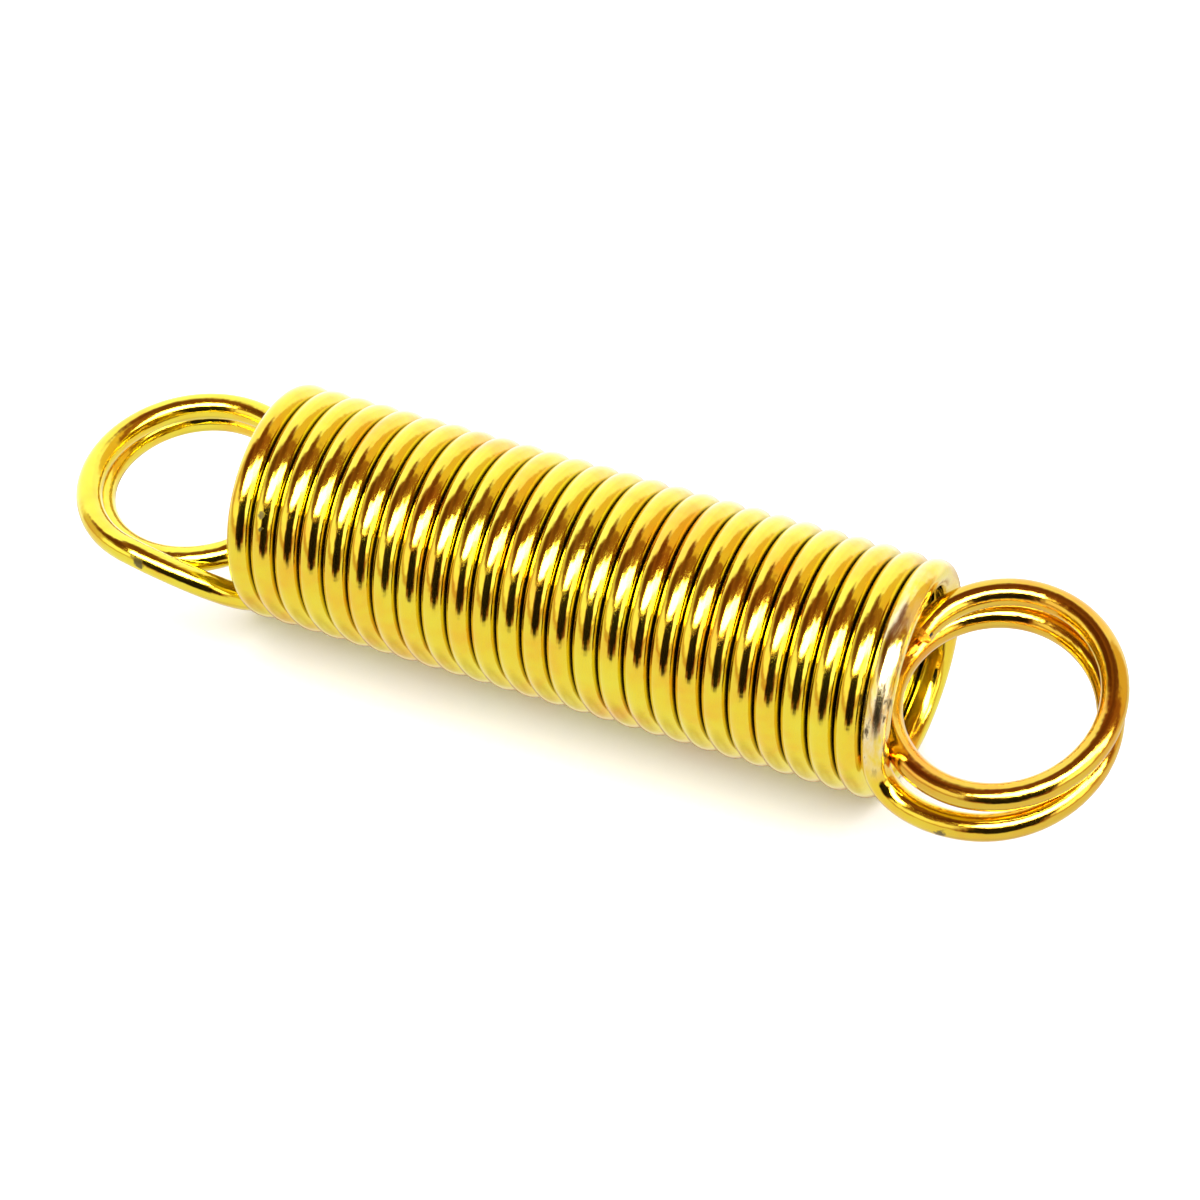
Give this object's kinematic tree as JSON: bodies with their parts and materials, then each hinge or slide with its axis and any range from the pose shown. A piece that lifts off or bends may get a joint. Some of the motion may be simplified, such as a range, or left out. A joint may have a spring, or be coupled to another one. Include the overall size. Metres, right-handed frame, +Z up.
{
  "type": "extension spring",
  "caption": "Close-wound extension spring in round steel wire, yellow zinc plated, with a double full loop at each end, stretching turn by turn.",
  "frame": {"origin": "on the coil's axis, in the middle of the left loop's eye", "axes": "+X along the coil's axis from the left loop to the right loop, +Z up as the spring lies, +Y away from the side where the wire's turns cross the front"},
  "size_m": [0.0841, 0.0203, 0.0178],
  "materials": {
    "yellow_zinc": "bright zinc plate with a yellow chromate passivation, glossy, faint draw lines along the wire",
    "worn_zinc": "the same yellow zinc plate, rubbed pale and smudged grey"
  },
  "bodies": {
    "left_end": {"left_loop": "yellow_zinc", "left_end_turn": "yellow_zinc"},
    "turn_01": {"turn_01": "yellow_zinc"},
    "turn_02": {"turn_02": "yellow_zinc"},
    "turn_03": {"turn_03": "yellow_zinc"},
    "turn_04": {"turn_04": "yellow_zinc"},
    "turn_05": {"turn_05": "yellow_zinc"},
    "turn_06": {"turn_06": "yellow_zinc"},
    "turn_07": {"turn_07": "yellow_zinc"},
    "turn_08": {"turn_08": "yellow_zinc"},
    "turn_09": {"turn_09": "yellow_zinc"},
    "turn_10": {"turn_10": "yellow_zinc"},
    "turn_11": {"turn_11": "yellow_zinc"},
    "turn_12": {"turn_12": "yellow_zinc"},
    "turn_13": {"turn_13": "yellow_zinc"},
    "turn_14": {"turn_14": "yellow_zinc"},
    "turn_15": {"turn_15": "yellow_zinc"},
    "turn_16": {"turn_16": "yellow_zinc"},
    "turn_17": {"turn_17": "yellow_zinc"},
    "turn_18": {"turn_18": "yellow_zinc"},
    "turn_19": {"turn_19": "yellow_zinc"},
    "turn_20": {"turn_20": "yellow_zinc"},
    "turn_21": {"turn_21": "yellow_zinc"},
    "turn_22": {"turn_22": "yellow_zinc"},
    "turn_23": {"turn_23": "yellow_zinc"},
    "turn_24": {"turn_24": "yellow_zinc"},
    "right_end": {"right_end_turn": "worn_zinc", "right_loop": "yellow_zinc"}
  },
  "joints": [
    {"name": "stretch_01", "type": "slide", "parent": "left_end", "child": "turn_01", "axis": [1, 0, 0], "range_m": [0, 0.0024], "stiffness_N_per_m": 40200},
    {"name": "stretch_02", "type": "slide", "parent": "turn_01", "child": "turn_02", "axis": [1, 0, 0], "range_m": [0, 0.0024], "stiffness_N_per_m": 40200},
    {"name": "stretch_03", "type": "slide", "parent": "turn_02", "child": "turn_03", "axis": [1, 0, 0], "range_m": [0, 0.0024], "stiffness_N_per_m": 40200},
    {"name": "stretch_04", "type": "slide", "parent": "turn_03", "child": "turn_04", "axis": [1, 0, 0], "range_m": [0, 0.0024], "stiffness_N_per_m": 40200},
    {"name": "stretch_05", "type": "slide", "parent": "turn_04", "child": "turn_05", "axis": [1, 0, 0], "range_m": [0, 0.0024], "stiffness_N_per_m": 40200},
    {"name": "stretch_06", "type": "slide", "parent": "turn_05", "child": "turn_06", "axis": [1, 0, 0], "range_m": [0, 0.0024], "stiffness_N_per_m": 40200},
    {"name": "stretch_07", "type": "slide", "parent": "turn_06", "child": "turn_07", "axis": [1, 0, 0], "range_m": [0, 0.0024], "stiffness_N_per_m": 40200},
    {"name": "stretch_08", "type": "slide", "parent": "turn_07", "child": "turn_08", "axis": [1, 0, 0], "range_m": [0, 0.0024], "stiffness_N_per_m": 40200},
    {"name": "stretch_09", "type": "slide", "parent": "turn_08", "child": "turn_09", "axis": [1, 0, 0], "range_m": [0, 0.0024], "stiffness_N_per_m": 40200},
    {"name": "stretch_10", "type": "slide", "parent": "turn_09", "child": "turn_10", "axis": [1, 0, 0], "range_m": [0, 0.0024], "stiffness_N_per_m": 40200},
    {"name": "stretch_11", "type": "slide", "parent": "turn_10", "child": "turn_11", "axis": [1, 0, 0], "range_m": [0, 0.0024], "stiffness_N_per_m": 40200},
    {"name": "stretch_12", "type": "slide", "parent": "turn_11", "child": "turn_12", "axis": [1, 0, 0], "range_m": [0, 0.0024], "stiffness_N_per_m": 40200},
    {"name": "stretch_13", "type": "slide", "parent": "turn_12", "child": "turn_13", "axis": [1, 0, 0], "range_m": [0, 0.0024], "stiffness_N_per_m": 40200},
    {"name": "stretch_14", "type": "slide", "parent": "turn_13", "child": "turn_14", "axis": [1, 0, 0], "range_m": [0, 0.0024], "stiffness_N_per_m": 40200},
    {"name": "stretch_15", "type": "slide", "parent": "turn_14", "child": "turn_15", "axis": [1, 0, 0], "range_m": [0, 0.0024], "stiffness_N_per_m": 40200},
    {"name": "stretch_16", "type": "slide", "parent": "turn_15", "child": "turn_16", "axis": [1, 0, 0], "range_m": [0, 0.0024], "stiffness_N_per_m": 40200},
    {"name": "stretch_17", "type": "slide", "parent": "turn_16", "child": "turn_17", "axis": [1, 0, 0], "range_m": [0, 0.0024], "stiffness_N_per_m": 40200},
    {"name": "stretch_18", "type": "slide", "parent": "turn_17", "child": "turn_18", "axis": [1, 0, 0], "range_m": [0, 0.0024], "stiffness_N_per_m": 40200},
    {"name": "stretch_19", "type": "slide", "parent": "turn_18", "child": "turn_19", "axis": [1, 0, 0], "range_m": [0, 0.0024], "stiffness_N_per_m": 40200},
    {"name": "stretch_20", "type": "slide", "parent": "turn_19", "child": "turn_20", "axis": [1, 0, 0], "range_m": [0, 0.0024], "stiffness_N_per_m": 40200},
    {"name": "stretch_21", "type": "slide", "parent": "turn_20", "child": "turn_21", "axis": [1, 0, 0], "range_m": [0, 0.0024], "stiffness_N_per_m": 40200},
    {"name": "stretch_22", "type": "slide", "parent": "turn_21", "child": "turn_22", "axis": [1, 0, 0], "range_m": [0, 0.0024], "stiffness_N_per_m": 40200},
    {"name": "stretch_23", "type": "slide", "parent": "turn_22", "child": "turn_23", "axis": [1, 0, 0], "range_m": [0, 0.0024], "stiffness_N_per_m": 40200},
    {"name": "stretch_24", "type": "slide", "parent": "turn_23", "child": "turn_24", "axis": [1, 0, 0], "range_m": [0, 0.0024], "stiffness_N_per_m": 40200},
    {"name": "stretch_25", "type": "slide", "parent": "turn_24", "child": "right_end", "axis": [1, 0, 0], "range_m": [0, 0.0024], "stiffness_N_per_m": 40200}
  ],
  "couplings": [
    {"joint": "stretch_02", "follows": "stretch_01", "ratio": 1},
    {"joint": "stretch_03", "follows": "stretch_01", "ratio": 1},
    {"joint": "stretch_04", "follows": "stretch_01", "ratio": 1},
    {"joint": "stretch_05", "follows": "stretch_01", "ratio": 1},
    {"joint": "stretch_06", "follows": "stretch_01", "ratio": 1},
    {"joint": "stretch_07", "follows": "stretch_01", "ratio": 1},
    {"joint": "stretch_08", "follows": "stretch_01", "ratio": 1},
    {"joint": "stretch_09", "follows": "stretch_01", "ratio": 1},
    {"joint": "stretch_10", "follows": "stretch_01", "ratio": 1},
    {"joint": "stretch_11", "follows": "stretch_01", "ratio": 1},
    {"joint": "stretch_12", "follows": "stretch_01", "ratio": 1},
    {"joint": "stretch_13", "follows": "stretch_01", "ratio": 1},
    {"joint": "stretch_14", "follows": "stretch_01", "ratio": 1},
    {"joint": "stretch_15", "follows": "stretch_01", "ratio": 1},
    {"joint": "stretch_16", "follows": "stretch_01", "ratio": 1},
    {"joint": "stretch_17", "follows": "stretch_01", "ratio": 1},
    {"joint": "stretch_18", "follows": "stretch_01", "ratio": 1},
    {"joint": "stretch_19", "follows": "stretch_01", "ratio": 1},
    {"joint": "stretch_20", "follows": "stretch_01", "ratio": 1},
    {"joint": "stretch_21", "follows": "stretch_01", "ratio": 1},
    {"joint": "stretch_22", "follows": "stretch_01", "ratio": 1},
    {"joint": "stretch_23", "follows": "stretch_01", "ratio": 1},
    {"joint": "stretch_24", "follows": "stretch_01", "ratio": 1},
    {"joint": "stretch_25", "follows": "stretch_01", "ratio": 1}
  ]
}
